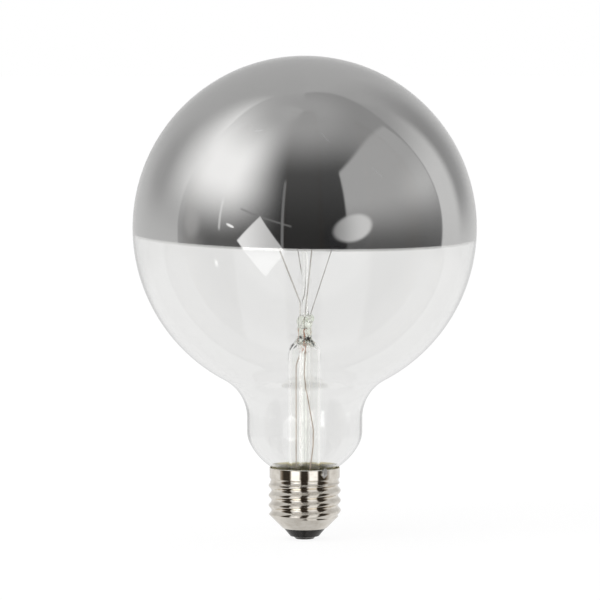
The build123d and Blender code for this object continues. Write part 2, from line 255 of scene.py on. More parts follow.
# %% Soft box, reflector and stand
box_azimuth, box_elevation = -29.5, -8.3
box_half_width, box_half_height = 16.6, 19.5
box_right, box_above = azimuth - box_azimuth, elevation - box_elevation
box_slant_across, box_slant_along = 327, 87
box_across = sky.maths("ABSOLUTE", box_right / box_half_width + box_above / box_slant_across)
box_along = sky.maths("ABSOLUTE", box_above / box_half_height + box_right / box_slant_along)
soft_box = 1 - (box_across + box_along).smooth(0.96, 1.03)
reflector = oval(32.5, 3.5, 14.0, 9.0, 0.8, 1.1, lean=0.15)
stand = azimuth.between(-16.2, -15.6, -14.4, -13.8) * elevation.between(-10, -8, 33, 37)
arm_end_azimuth, arm_end_elevation, arm_droop = -45, 15, 0.27
off_arm = sky.maths("ABSOLUTE", elevation - arm_end_elevation + (azimuth - arm_end_azimuth) * arm_droop)
arm = (1 - off_arm.smooth(0.3, 0.9)) * azimuth.between(-46, -44, -10, -8)
far_glow = oval(-82, 3, 9, 10, 0.3, 1.0)
glint = oval(-51.5, 4.2, 3.4, 1.0, 0.7, 1.0, lean=-0.3)
view = lay(view, far_glow * 0.35, tone(175))
view = lay(view, stand * 0.8, tone(118))
view = lay(view, arm * 0.6, tone(118))
view = lay(view, glint, tone(235))
light_tube = azimuth.between(-60.8, -60.2, -59.2, -58.6) * elevation.between(0, 3, 17, 22)
view = lay(view, light_tube * 0.45, tone(228))
view = lay(view, soft_box, lay(tone(228), azimuth.smooth(-50, -14), tone(176)))
view = lay(view, reflector, lay(tone(126), azimuth.smooth(15, 41), tone(193)))
print("the room holds", len(room.node_tree.nodes), "nodes")

# %% [markdown]
# The cap and the clear half look further down, where the film has no part. In the clear half the sweep's
# foot and the table are light, and a dark ring of floor shows beyond the table's front: `front_angle` is
# the angle from the direction of the camera, however high or low. One small lamp makes the drop of light
# in the neck. The stem lies behind more glass. It sees a light room, and a bright slit of the soft box
# that draws a white band along the pumping tube.

# %% The room in clear glass
bright, brightest = 1.3, 2.4
dark_room = 0.03


def with_lights(level, round_light):
    """The same level with the soft box and a round light in front of it."""
    boxed = lay(level, soft_box, lay(brightest, elevation.smooth(-12, -4), bright))
    return lay(boxed, round_light, bright)


front_angle = sky.maths("ARCCOSINE", 0 - north) * in_degrees
table = 0.42
in_glass = lay(table, front_angle.between(42, 50, 66, 90), dark_room)
in_glass = lay(in_glass, front_angle.smooth(66, 96), lay(0.8, elevation.smooth(-4, 4), view))
neck_lamp, neck_lamp_level = oval(-64, -18, 2.0, 3.5, 0.2, 1.0), 5.0
in_glass = with_lights(lay(in_glass, neck_lamp, neck_lamp_level), reflector)
slit, slit_level = azimuth.between(-44, -40, -16, -12) * elevation.between(-12, -9, -1, 2), 3.5
in_stem = lay(0.95, front_angle.between(15, 30, 60, 85), 0.75) + slit * slit_level
print("with the clear half's room:", len(room.node_tree.nodes), "nodes")

# %% [markdown]
# In the cap a dark gap stands between the pools of the two soft lights, with dark room on either side and
# the light sweep beyond. On a thread, whose flanks tilt up and down, such lights would show as a row of
# broken blobs if they were laid out by azimuth. `column` is twice the bearing of the wall that sends a
# direction to the front. It is the same on all flanks above each other, so the lights stand as straight
# columns. What goes up or down so steeply that it ends behind the lamp meets the sweep again.

# %% The room in the cap
column = sky.maths("ARCTAN2", east, 1 - north) * (2 * in_degrees)
pools = column.between(-50, -46, -15, -11) + column.between(9, 13, 42, 47)
pool_level = lay(0.85, elevation.smooth(-12, -8), 0.5 + elevation.smooth(8, 30) * 0.2)
sides = sky.maths("ABSOLUTE", column + 2).smooth(69, 100)
beyond = sky.maths("MAXIMUM", sides, front_angle.smooth(87, 90.5))
beyond_level = lay(0.62, elevation.between(-70, -30, 0, 30), 0.8)
in_cap = lay(lay(dark_room, pools, pool_level), beyond, beyond_level)
in_cap = with_lights(in_cap, oval(29, -3, 15, 14, 0.85, 1.1))
print("with the cap's room:", len(room.node_tree.nodes), "nodes")

# %% [markdown]
# The sky picks its level by the path's history. Glossy Depth counts the reflections so far, so it is 0 for
# what is seen straight or through clear glass only. Transmission Depth counts the glass faces passed: none
# before the cap, two where a path met the film, one in and one out, and four or more at the wires and the
# stem. The globe's outer face adds a twentieth of the cap's room over the film, which is taken off here.
# Below the horizon the film fades over to the clear half. Where no film is met, the darker a reflection is,
# the browner it gets, as metal and glass show a dark room.

# %% Levels by path
outer_face_share = 0.05
seen_through_glass = 0.845
on_dull_surfaces = 0.72
faces_passed = sky.node("LightPath", output="Transmission Depth")
reflected = sky.node("LightPath", output="Glossy Depth").smooth(0.4, 0.6)
dull = sky.node("LightPath", output="Is Diffuse Ray")
behind_glass = faces_passed.smooth(0.4, 0.6)
filmed = faces_passed.between(1.4, 1.6, 2.4, 2.6)
near = lay(lay(in_cap, behind_glass, in_glass), faces_passed.smooth(2.4, 2.6), in_stem)
in_film = lay(view - (in_cap - view) * outer_face_share, 1 - elevation.smooth(-17, -9), near)
plain = lay(1.0, behind_glass, seen_through_glass)
level = lay(lay(plain, reflected, lay(near, filmed, in_film)), dull, on_dull_surfaces)
brown = (1.15, 0.93, 0.72, 1)
unfilmed = (1 - filmed) * reflected
tint = (level.smooth(0.0, 0.6) * unfilmed + (1 - unfilmed)).blend(brown, grey(1))
backdrop = sky.node("Background", {}, {"Color": tint, "Strength": level})
sky.node("OutputWorld", {}, {"Surface": backdrop})
print("world ready, with", len(room.node_tree.nodes), "nodes")

# %% [markdown]
# ## Floor and lamp
# The floor is pale and plain. Part of its white is its own light for the camera, so the picture's ground
# is as white as its background, and the rest is a dull white that keeps the lamp's shadow. From below, and
# in reflections, the floor is see-through, so the lamp's underside can be looked at too.

# %% Floor and soft light
def new_material(name):
    """An empty node material and its tree."""
    made = bpy.data.materials.new(name)
    made.use_nodes = True
    made.node_tree.nodes.clear()
    return made, Wire(made.node_tree)


own_white, own_light_share = 1.1, 0.8
floor_material, paint = new_material("studio_floor")
bounced = paint.node("LightPath", output="Glossy Depth").smooth(0.4, 0.6)
dull_ray = paint.node("LightPath", output="Is Diffuse Ray")
through_glass = paint.node("LightPath", output="Transmission Depth").smooth(0.4, 0.6)
underside = paint.node("NewGeometry", output="Backfacing")
floor_grain = paint.node("TexNoise", {}, {"Scale": 3.0, "Detail": 3.0})
paper = paint.node("BsdfDiffuse", {}, {"Color": (floor_grain * 0.03 + 0.85).blend(grey(0), grey(1))})
white = paint.node("Emission", {}, {"Color": grey(1), "Strength": own_white})
white_in_glass = paint.node("Emission", {}, {"Color": grey(1), "Strength": seen_through_glass})
clear = paint.node("BsdfTransparent")
shown = paint.node("MixShader", {}, {0: (1 - dull_ray) * own_light_share, 1: paper, 2: white})
shown = paint.node("MixShader", {}, {0: through_glass, 1: shown, 2: white_in_glass})
hidden = paint.maths("MAXIMUM", bounced, underside)
surface = paint.node("MixShader", {}, {0: hidden, 1: shown, 2: clear})
paint.node("OutputMaterial", {}, {"Surface": surface})

half_floor = 3.0
floor_z = -0.1 * MM
signs = ((-1, -1), (1, -1), (1, 1), (-1, 1))
corners = [(half_floor * x, half_floor * y, floor_z) for x, y in signs]
floor_mesh = bpy.data.meshes.new("floor")
floor_mesh.from_pydata(corners, [], [(0, 1, 2, 3)])
floor_mesh.materials.append(floor_material)
ground = bpy.data.objects.new("floor", floor_mesh)
scene.collection.objects.link(ground)

soft = bpy.data.lights.new("soft_light", "AREA")
soft.shape = "DISK"
soft.size = 1.2
soft.energy = 9.0
soft_light = bpy.data.objects.new("soft_light", soft)
soft_light.location = (-1.3, -1.1, 1.6)
soft_light.rotation_euler = (aim - soft_light.location).to_track_quat("-Z", "Y").to_euler()
soft_light.visible_glossy = False
soft_light.visible_transmission = False
scene.collection.objects.link(soft_light)
print("floor and one soft light")

# %% [markdown]
# ## Meshes made by turning
# Almost every piece of a bulb is turned: glass is blown while it spins, and caps are rolled. `turned`
# sweeps a closed outline of radius and height round the axis. `walk` draws such an outline the way a
# glassworker thinks of it, as straight runs and tangent arcs one after another.

# %% Outline and turning helpers
def walk(start, heading, moves, step=2.0):
    """Points along tangent moves. A move is a length, or a (radius, turn in degrees) pair for an arc,
    which gets a point at least every `step` degrees."""
    across, height = start
    points = [start]
    for move in moves:
        if isinstance(move, tuple):
            radius, turn = move
            count = max(3, ceil(abs(turn) / step))
            side = 1 if turn > 0 else -1
            centre = (across - side * radius * sin(heading), height + side * radius * cos(heading))
            for n in range(1, count + 1):
                angle = heading + radians(turn) * n / count
                points.append((centre[0] + side * radius * sin(angle), centre[1] - side * radius * cos(angle)))
            heading += radians(turn)
        else:
            points.append((across + move * cos(heading), height + move * sin(heading)))
        across, height = points[-1]
    return points


def make_piece(name, points, faces, material=None, slot=None, stands_for=(), sharp=40):
    """A smooth-shaded mesh piece from points in mm, which rides on the lamp's one body."""
    mesh = bpy.data.meshes.new(name)
    mesh.from_pydata([(x * MM, y * MM, z * MM) for x, y, z in points], [], faces)
    mesh.validate()
    mesh.shade_smooth()
    mesh.set_sharp_from_angle(angle=radians(sharp))
    if material:
        mesh.materials.append(material)
    piece = bpy.data.objects.new(name, mesh)
    scene.collection.objects.link(piece)
    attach(piece, "root")
    if stands_for:
        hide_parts(*stands_for)
    print(f"{name}: {len(points)} points, {len(faces)} faces")
    return piece


def turned(outline, sides=192):
    """Points and faces of a closed outline of (radius, height) turned round the axis."""
    points, rows = [], []
    for radius, height in outline:
        if radius < 1e-6:
            rows.append([len(points)] * sides)
            points.append((0, 0, height))
            continue
        rows.append(list(range(len(points), len(points) + sides)))
        for n in range(sides):
            angle = 2 * pi * n / sides
            points.append((radius * cos(angle), radius * sin(angle), height))
    faces = []
    for low, high in zip(rows, rows[1:] + rows[:1]):
        for n in range(sides):
            m = (n + 1) % sides
            corners = list(dict.fromkeys((low[n], low[m], high[m], high[n])))
            if len(corners) > 2:
                faces.append(corners)
    return points, faces


print("a quarter turn of radius 1 ends at", [round(part, 3) for part in walk((0, 0), 0, [(1, 90)])[-1]])

# %% [markdown]
# ## Clear glass
# The globe is blown soda-lime glass, 0.8 mm thick. A closed wall with an outer and an inner face lets
# the renderer bend light twice, as real glass does, which draws the thin dark line round the globe.
# A faint waviness in the surface keeps reflections from looking computed.

# %% Glass outline
glass_wall = 0.8
globe_r = 62.5
neck_r = 20.95
neck_length = 4.75
neck_fillet_r = 16.0
shoulder_r = 10.4
shoulder_slope = 27.0
funnel_slope = 55.0
funnel_length = 1.4
seat_fillet_r = 1.5
seat_length = 9.7
seat_r = 11.05
foot_z = 15.0


def glass_outline(inset):
    """The blown form from its foot in the cap up to the crown, or the one that lies inset from it."""
    steep, gentle = radians(funnel_slope), radians(shoulder_slope)
    fillet_width = seat_fillet_r * (1 - cos(steep)) + shoulder_r * (1 - cos(gentle))
    arc_r = (neck_r - seat_r - fillet_width - funnel_length * sin(steep)) / (cos(gentle) - cos(steep))
    globe_slope = degrees(acos((neck_r + neck_fillet_r) / (globe_r + neck_fillet_r)))
    moves = [
        seat_length,
        (seat_fillet_r + inset, -funnel_slope),
        funnel_length,
        (arc_r - inset, funnel_slope - shoulder_slope),
        (shoulder_r - inset, shoulder_slope),
        neck_length,
        (neck_fillet_r + inset, -globe_slope),
        (globe_r - inset, globe_slope + 90),
    ]
    points = walk((seat_r - inset, foot_z), pi / 2, moves)
    return points[:-1] + [(0.0, points[-1][1])]


outer_face = glass_outline(0)
globe_z = outer_face[-1][1] - globe_r
print("the globe's centre is at", round(globe_z, 3), "mm and its top at", round(outer_face[-1][1], 3))

# %% [markdown]
# Glass needs little paint: nearly white, fully see-through, and rough only where a hand has smeared it. All
# the materials below share three steps, so each gets a helper: noise on the piece's own coordinates, a bump
# made from it, and the one Principled shader that closes the material. Thick glass shows its own colour,
# so the same helper can tint the glass between two heights.

# %% Clear glass and globe
def cloudy(place, scale, detail):
    """Noise from 0 to 1 that is finer with a higher scale."""
    return place.node("TexNoise", {}, {"Vector": place, "Scale": scale, "Detail": detail})


def bumped(height, strength, distance):
    """The surface's direction with a bump of this strength, up to a distance in metres."""
    return height.node("Bump", {}, {"Strength": strength, "Distance": distance, "Height": height})


def close_material(paint, sockets):
    """Ends a material in one Principled shader with these sockets."""
    surface = paint.node("BsdfPrincipled", {}, sockets)
    paint.node("OutputMaterial", {}, {"Surface": surface})


def glass_material(name, tint, wave, wave_scale, thick_tint=None, thick_from=0.0, thick_to=0.0):
    """Glass with a faint wave in its surface, and a deeper tint between two heights in mm."""
    made, paint = new_material(name)
    place = paint.node("TexCoord", output="Object")
    ripple = cloudy(place, wave_scale, 2.0)
    smear = cloudy(place, wave_scale * 4, 4.0)
    shade = (smear * 0.02 + 0.98).blend(grey(0), tint)
    if thick_tint:
        height = place.split()[2] / MM
        thick = height.between(thick_from - 1, thick_from, thick_to, thick_to + 1)
        shade = (thick * (smear * 1.2 + 0.2)).blend(shade, thick_tint)
    sockets = {
        "Base Color": shade,
        "Roughness": smear.smooth(0.62, 0.9) * 0.03,
        "IOR": 1.5,
        "Transmission Weight": 1.0,
        "Normal": bumped(ripple, wave, 0.001),
    }
    close_material(paint, sockets)
    return made


clear_glass = glass_material("clear_glass", (0.99, 0.99, 0.985, 1), wave=0.01, wave_scale=14.0)
points, faces = turned(outer_face + glass_outline(glass_wall)[::-1])
make_piece("blown_glass", points, faces, clear_glass, "clear_glass", ["glass_bulb"])

# %% [markdown]
# ## The mirror
# Aluminium is evaporated onto the inside of the globe, so the mirror is seen through the glass. Masking
# leaves a soft edge below the globe's middle, where the film thins out over about a millimetre. The alpha
# follows that edge: first a grey haze, then the full film. The mask is set by hand, so the edge leans by
# about a degree.

# %% The film's edge
rim_drop = 2.65
rim_lean = radians(0.95)
rim_waver = 0.15
haze = 1.1
haze_share = 0.4
mirror, paint = new_material("mirror_film")
place = paint.node("TexCoord", output="Object")
east, north, height = place.split()
edge_noise = cloudy(place, 120.0, 4.0)
above_middle = (height / MM - globe_z) * cos(rim_lean) + east / MM * sin(rim_lean)
above_rim = above_middle + rim_drop + (edge_noise - 0.5) * rim_waver
film_alpha = above_rim.smooth(-haze, -0.6) * haze_share + above_rim.smooth(-0.3, 0.1) * (1 - haze_share)
print("the film's edge lies", rim_drop, "mm below the globe's middle")

# %% [markdown]
# Cleaning before the coating leaves a few short scratches, which are lighter and duller than the film round
# them. A scratch is drawn from its two ends: how far a place is along it, and how far off to the side. The
# rest of the film is nearly even, with a slight cloud in its brightness and a long wave in its surface.

# %% Scratches and film material
def scratch(start, end):
    """1 on a thin line between two places, each told in mm to the right of the axis and above the centre."""
    run, rise = end[0] - start[0], end[1] - start[1]
    length = sqrt(run**2 + rise**2)
    across, above = east / MM - start[0], height / MM - (globe_z + start[1])
    along = (across * run + above * rise) / length**2
    off = paint.maths("ABSOLUTE", (across * rise - above * run) / length)
    return (1 - off.smooth(0.1, 0.4)) * along.between(-0.1, 0.15, 0.85, 1.1)


scratch_ends = [((-17.7, 37.9), (-14.8, 38.3)), ((5.9, 37.4), (8.8, 34.3)), ((23.7, 25.6), (27.4, 21.9))]
on_front = 1 - north.smooth(-0.005, 0.005)
scratches = sum(scratch(start, end) for start, end in scratch_ends) * on_front
cloud = cloudy(place, 25.0, 5.0)
silver = cloud.blend((0.86, 0.855, 0.85, 1), (0.93, 0.925, 0.92, 1))
sockets = {
    "Base Color": scratches.blend(silver, grey(1)),
    "Metallic": 1.0,
    "Roughness": cloud * 0.03 + scratches * 0.2 + 0.02,
    "Alpha": film_alpha,
    "Normal": bumped(cloudy(place, 18.0, 1.0), 0.08, 0.001),
}
close_material(paint, sockets)
print("mirror material, with", len(paint.tree.nodes), "nodes and", len(scratch_ends), "scratches")

# %% [markdown]
# The film is turned like the glass. It grips the glass with no air between, so its face lies a hair inside
# the wall. Then it is leaned about the globe's middle, which keeps it on the glass all round.

# %% Mirror film
hold_in_wall = 0.04
film_r = globe_r - glass_wall + hold_in_wall
film_thickness = 0.15


def film_arc(radius, count=96):
    """Points up the film from below its rim to the crown."""
    low = -asin((rim_drop + haze) / radius)
    angles = [low + (pi / 2 - low) * n / count for n in range(count + 1)]
    arc = [(radius * cos(a), globe_z + radius * sin(a)) for a in angles]
    return arc[:-1] + [(0.0, arc[-1][1])]


upright, faces = turned(film_arc(film_r) + film_arc(film_r - film_thickness)[::-1])
lean = Matrix.Rotation(rim_lean, 3, "Y")
middle = Vector((0, 0, globe_z))
points = [tuple(lean @ (Vector(point) - middle) + middle) for point in upright]
make_piece("mirror_film", points, faces, mirror, "mirror_film", ["silver_crown"])

# %% [markdown]
# ## The stem
# Inside the neck stands a tube whose upper end was heated and pinched flat round the two leads. That
# pinch, the press, is the only place where current passes through glass, and it takes the most skill: the
# jaws squeeze glass that is soft, so the press is full of dents, ribs and thick drops that catch the light.
# The pumping tube on the axis and the rod above the press keep their CAD shapes, and get the stem's glass.

# %% Stem glass and the finish of CAD nodes
stem_tint = (0.988, 0.99, 0.98, 1)
press_tint = (0.84, 0.88, 0.78, 1)
stem_glass = glass_material("stem_glass", stem_tint, 0.015, 60.0, press_tint, thick_from=72.0, thick_to=81.0)


def dress(material, *nodes):
    """Gives carried-over CAD nodes a material."""
    for node in nodes:
        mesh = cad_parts[node].data
        mesh.materials.clear()
        mesh.materials.append(material)
    print(material.name, "on", ", ".join(nodes))


dress(stem_glass, "exhaust_tube", "glass_arbor")

# %% [markdown]
# The tube, its flared lip and the press are one skin here. It is a stack of rings, down the outside, round
# the lip and up the inside. Each ring has a height, a half-width, a half-thickness and a squareness. That
# is 2 for a circle or an oval, and more for a rounded oblong. So the press is a short table that is easy to
# read and to change.

# %% Rings of the stem
stem_r = 5.9
stem_wall = 1.0
lip_z = foot_z - stem_wall
flare_r = seat_r - glass_wall - stem_r
press_azimuth = radians(-66.4)
press_rings = [
    (81.7, 0.0, 0.0, 2.0),
    (81.6, 1.5, 0.7, 2.0),
    (81.25, 3.4, 1.3, 2.4),
    (80.6, 4.3, 1.75, 3.0),
    (79.6, 4.6, 1.95, 3.2),
    (78.6, 4.6, 1.75, 3.2),
    (77.6, 4.5, 1.5, 3.2),
    (76.9, 4.5, 1.5, 3.2),
    (76.2, 4.65, 1.85, 3.0),
    (75.5, 4.65, 1.85, 3.0),
    (74.8, 4.5, 1.5, 3.2),
    (74.0, 4.5, 1.5, 3.2),
    (73.2, 4.7, 1.8, 3.0),
    (72.4, 5.1, 2.6, 2.6),
    (71.4, 5.55, 3.7, 2.3),
    (70.4, 5.8, 4.8, 2.1),
    (69.4, 5.9, 5.5, 2.0),
    (68.4, 5.9, 5.8, 2.0),
]
ceiling_rings = [
    (68.0, 4.9, 4.9, 2.0),
    (69.2, 4.85, 4.6, 2.0),
    (70.3, 4.6, 3.8, 2.2),
    (71.1, 4.1, 2.9, 2.3),
    (71.4, 3.3, 2.4, 2.2),
    (71.45, 2.2, 2.0, 2.0),
    (71.45, 0.0, 0.0, 2.0),
]
tube_top_z = 67.0
tube_heights = [tube_top_z - 4.0 * n for n in range(12)]
outside = [(stem_r, height) for height in tube_heights]
inside = [(stem_r - stem_wall, height) for height in tube_heights[::-1]]
lip = walk((seat_r - glass_wall, foot_z), pi, [(flare_r, -90)], step=6)
inner_lip = walk((seat_r - glass_wall, lip_z), pi, [(flare_r + stem_wall, -90)], step=6)
tube = outside + lip[::-1] + [(seat_r, foot_z), (seat_r, lip_z)] + inner_lip + inside
rings = press_rings + [(height, radius, radius, 2.0) for radius, height in tube] + ceiling_rings
print("the stem's stack has", len(rings), "rings")

# %% [markdown]
# Straight runs between so few rings would show as steps, so three times as many are laid along a curve
# through them. The weights are those of a Catmull-Rom curve, which passes through each given ring.

# %% A finer stack
far_apart = 1.3


def finer(rows, parts=3):
    """The same rings with more between them, along a smooth curve where they are close together."""
    found = []
    last = len(rows) - 1
    for n in range(last):
        four = [rows[min(max(m, 0), last)] for m in (n - 1, n, n + 1, n + 2)]
        low, high = four[1], four[2]
        smooth = abs(high[0] - low[0]) < far_apart and low[0] > tube_top_z
        for k in range(parts if smooth else 1):
            t = k / parts
            weights = (
                (-t + 2 * t**2 - t**3) / 2,
                (2 - 5 * t**2 + 3 * t**3) / 2,
                (t + 4 * t**2 - 3 * t**3) / 2,
                (t**3 - t**2) / 2,
            )
            found.append(tuple(sum(w * row[j] for w, row in zip(weights, four)) for j in range(4)))
    return found + [rows[-1]]


fine_rings = finer(rings)
print("and", len(fine_rings), "rings once it is finer")

# %% [markdown]
# Each ring is drawn as a squared circle and turned to the press's bearing. Noise pushes the rings of the
# press in and out, with a large and a small pattern, and up and down. The dents fade out into the tube,
# and only the narrowest rings, at the tip of the cavity's pointed ceiling, stay smooth.

# %% Stem skin
dents_start_z = 68.8
dents_grow_over = 2.2
large_dent, small_dent, lift = 0.12, 0.055, 0.25
dents_across, dents_up, smaller = 0.45, 0.5, 2.1
least_dented_width = 3.0
elsewhere = Vector((9, 4, 2))


def squared(value, square):
    """A sine or cosine pushed outwards, which squares the circle that it belongs to."""
    return abs(value) ** (2 / square) * (1 if value > 0 else -1)


def stem_skin(sides=96):
    """Points and faces of the stem's one closed skin, from the press's top to the cavity's ceiling."""
    points, rows = [], []
    for height, half_width, half_thickness, square in fine_rings:
        half_width, half_thickness = max(half_width, 0.0), max(half_thickness, 0.0)
        if half_width < 1e-6:
            rows.append([len(points)] * sides)
            points.append((0.0, 0.0, height))
            continue
        rows.append(list(range(len(points), len(points) + sides)))
        growth = max(min((height - dents_start_z) / dents_grow_over, 1.0), 0.0)
        dents = growth if half_width > least_dented_width else 0.0
        for n in range(sides):
            angle = 2 * pi * n / sides
            across = half_width * squared(cos(angle), square)
            along = half_thickness * squared(sin(angle), square)
            spot = Vector((across * dents_across, along * dents_across, height * dents_up))
            push = 1 + dents * (large_dent * noise.noise(spot) + small_dent * noise.noise(spot * smaller))
            x = (across * cos(press_azimuth) - along * sin(press_azimuth)) * push
            y = (across * sin(press_azimuth) + along * cos(press_azimuth)) * push
            points.append((x, y, height + dents * lift * noise.noise(spot + elsewhere)))
    faces = []
    for low, high in zip(rows, rows[1:]):
        for n in range(sides):
            m = (n + 1) % sides
            corners = list(dict.fromkeys((high[n], high[m], low[m], low[n])))
            if len(corners) > 2:
                faces.append(corners)
    return points, faces


make_piece("pinched_stem", *stem_skin(), stem_glass, "stem_glass", ["stem_flare"])

# %% [markdown]
# ## Wires
# Every wire was pulled through a die, which leaves fine lines along it, so its roughness and brightness
# change quickly across the wire and slowly along it. Noise that is stretched along the lamp's height
# does that, because all the wires run mostly upright. The stiff leads are nickel, the thin supports are
# molybdenum, which is a little darker, and the wires sealed in the glass have a copper skin that shows red
# through the press. The soft outer leads are copper that the heat of sealing has dulled.

# %% Drawn wire
def wire_material(name, dark, light, roughness, spread):
    """Metal between two colours, with a least roughness and how much more its lines add."""
    made, paint = new_material(name)
    place = paint.node("TexCoord", output="Object")
    drawn = paint.node("Mapping", {}, {"Vector": place, "Scale": (9000, 9000, 350)})
    lines = cloudy(drawn, 1.0, 3.0)
    stain = cloudy(place, 260.0, 2.0)
    sockets = {
        "Base Color": (stain * 0.7 + lines * 0.3).smooth(0.3, 0.72).blend(dark, light),
        "Metallic": 1.0,
        "Roughness": lines * spread + roughness,
        "Normal": bumped(lines, 0.3, 0.00003),
    }
    close_material(paint, sockets)
    return made


nickel_wire = wire_material("nickel_wire", (0.58, 0.56, 0.53, 1), (0.82, 0.8, 0.77, 1), 0.15, 0.2)
molybdenum = wire_material("molybdenum_wire", (0.5, 0.48, 0.46, 1), (0.76, 0.74, 0.72, 1), 0.15, 0.2)
copper_clad = wire_material("copper_clad_wire", (0.5, 0.2, 0.13, 1), (0.85, 0.5, 0.38, 1), 0.2, 0.2)
copper = wire_material("copper_wire", (0.42, 0.31, 0.24, 1), (0.74, 0.62, 0.52, 1), 0.2, 0.25)
dress(nickel_wire, "inner_lead_centre", "inner_lead_side")
dress(molybdenum, "support_front", "support_back", "short_support_1", "short_support_2", "short_support_3")
dress(copper_clad, "seal_wire_centre", "seal_wire_side")
dress(copper, "outer_lead_centre", "outer_lead_side")

# %% [markdown]
# ## The filament
# The glowing part is a tungsten coil, bent to a horseshoe and threaded through the supports' eyes. A
# helix whose axis is itself an arc is easiest as a formula: an angle round the ring, and many turns
# round the arc. A real coil sags a little between its supports. This one is level, because the mirror lets
# it show only from below.

# %% Coiled filament
ring_r = 14.5
ring_z = 117.993
ring_start = -75.0
ring_span = 270.0
coil_r = 0.4
strand_r = 0.065
coil_pitch = 0.24
strand_sides = 6


def filament_mesh(steps_per_turn=12):
    """Points and faces of a round strand wound into a coil that runs along the ring."""
    turns = floor(radians(ring_span) * ring_r / coil_pitch)
    steps = turns * steps_per_turn
    points, faces = [], []
    for n in range(steps + 1):
        along = n / steps
        around = 2 * pi * turns * along
        bearing = radians(ring_start + ring_span * along)
        out = Vector((cos(bearing), sin(bearing), 0))
        spoke = out * cos(around) + Vector((0, 0, 1)) * sin(around)
        middle = out * ring_r + Vector((0, 0, ring_z)) + spoke * (coil_r - strand_r)
        side = Vector((-sin(bearing), cos(bearing), 0))
        for k in range(strand_sides):
            a = 2 * pi * k / strand_sides
            points.append(tuple(middle + (spoke * cos(a) + side * sin(a)) * strand_r))
    for n in range(steps):
        for k in range(strand_sides):
            m = (k + 1) % strand_sides
            a, b = n * strand_sides, (n + 1) * strand_sides
            faces.append((a + k, a + m, b + m, b + k))
    faces.append(tuple(range(strand_sides))[::-1])
    faces.append(tuple(range(steps * strand_sides, (steps + 1) * strand_sides)))
    return points, faces


tungsten = wire_material("tungsten", (0.2, 0.2, 0.21, 1), (0.4, 0.4, 0.41, 1), 0.3, 0.2)
make_piece("filament_coil", *filament_mesh(), tungsten, "tungsten", ["filament"], sharp=80)

# %% [markdown]
# ## Weld knots
# The soft outer leads are welded to the sealed wires in the press's foot. Each weld is a small lump, so
# it is a ball whose surface is pushed in and out by smooth noise. The seed moves the noise along, so no two
# lumps are alike.

# %% Lumps of metal
lump_pattern = 1.7


def lump(centre, size, rough, seed, turn=0.0, rings=14):
    """Points and faces of a ball with three half-widths, turned round its height and pushed about by noise."""
    points, faces = [], []
    sides = rings * 2
    for i in range(rings + 1):
        for k in range(sides if 0 < i < rings else 1):
            polar, bearing = pi * i / rings, 2 * pi * k / sides
            way = Vector((sin(polar) * cos(bearing), sin(polar) * sin(bearing), cos(polar)))
            push = 1 + rough * noise.noise(way * lump_pattern + Vector((seed, 0, 0)))
            out, aslant, rise = (way[j] * size[j] * push for j in range(3))
            x, y = out * cos(turn) - aslant * sin(turn), out * sin(turn) + aslant * cos(turn)
            points.append((centre[0] + x, centre[1] + y, centre[2] + rise))
    last = len(points) - 1

    def ring(i, k):
        return 0 if i == 0 else last if i == rings else 1 + (i - 1) * sides + k % sides

    for i in range(rings):
        for k in range(sides):
            corners = (ring(i, k), ring(i + 1, k), ring(i + 1, k + 1), ring(i, k + 1))
            faces.append(tuple(dict.fromkeys(corners)))
    return points, faces


weld_z = 68.1
weld_size = (0.42, 0.4, 0.5)
welds = {"weld_knot_centre": (-1.65, 1.79, 3.0), "weld_knot_side": (0.19, -2.43, 8.0)}
for name, (x, y, seed) in welds.items():
    make_piece(name, *lump((x, y, weld_z), weld_size, rough=0.5, seed=seed), copper, "copper_wire")

# %% [markdown]
# ## The screw cap
# The shell is thin sheet, rolled between two wheels, so its thread is rounded inside and out. A rounded
# thread has a neat description: cut the shell level anywhere and the cut is a circle, whose centre goes
# round the axis once for each turn. That gives the radius for any bearing and height as a formula, and
# a fine grid of such points is the whole shell. Where the thread runs out into the cone and the waist,
# the smaller radius wins, with the corner softened as rolled metal is.

# %% Shell form
thread_major_r = 13.15
thread_depth = 1.05
thread_pitch = 25.4 / 7
crest_z = 6.8
shell_wall = 0.25
skirt_r = 12.8
cap_rim_z = 26.1
waist_z = 21.5
waist_r = 12.35
groove_r = 1.2
shell_bottom_z = 3.9
shell_bottom_r = 8.0
thread_top_z = waist_z - groove_r
core_foot_r = thread_major_r - thread_depth - shell_wall


def soft_least(a, b, round_off=0.12):
    """The smaller of two lengths, with the corner between them rounded."""
    gap = max(round_off - abs(a - b), 0) / round_off
    return min(a, b) - gap * gap * round_off / 4


def shell_r(bearing, height):
    """The shell's outer radius."""
    turn = bearing - 2 * pi * (height - crest_z) / thread_pitch
    swing, mean_r = thread_depth / 2, thread_major_r - thread_depth / 2
    thread = swing * cos(turn) + sqrt(mean_r**2 - (swing * sin(turn)) ** 2)
    rise = (height - thread_top_z) / groove_r
    core = core_foot_r + (skirt_r + groove_r - core_foot_r) * max(rise, 0)
    body = -soft_least(-thread, -core)
    in_groove = groove_r**2 - (height - waist_z) ** 2
    waist = waist_r + groove_r - sqrt(in_groove) if in_groove > 0 else inf
    if height > waist_z:
        return soft_least(skirt_r, waist)
    if height > thread_top_z:
        body = soft_least(body, waist)
    cone = shell_bottom_r + (height - shell_bottom_z)
    return soft_least(body, cone)


print("the shell's radius on the crest at +X, in mm:", round(shell_r(0.0, crest_z), 3))

# %% [markdown]
# The shell's points go up its outside, over its rolled rim and down its inside, a wall further in. Level
# rows of the same number of points make the faces a plain grid.

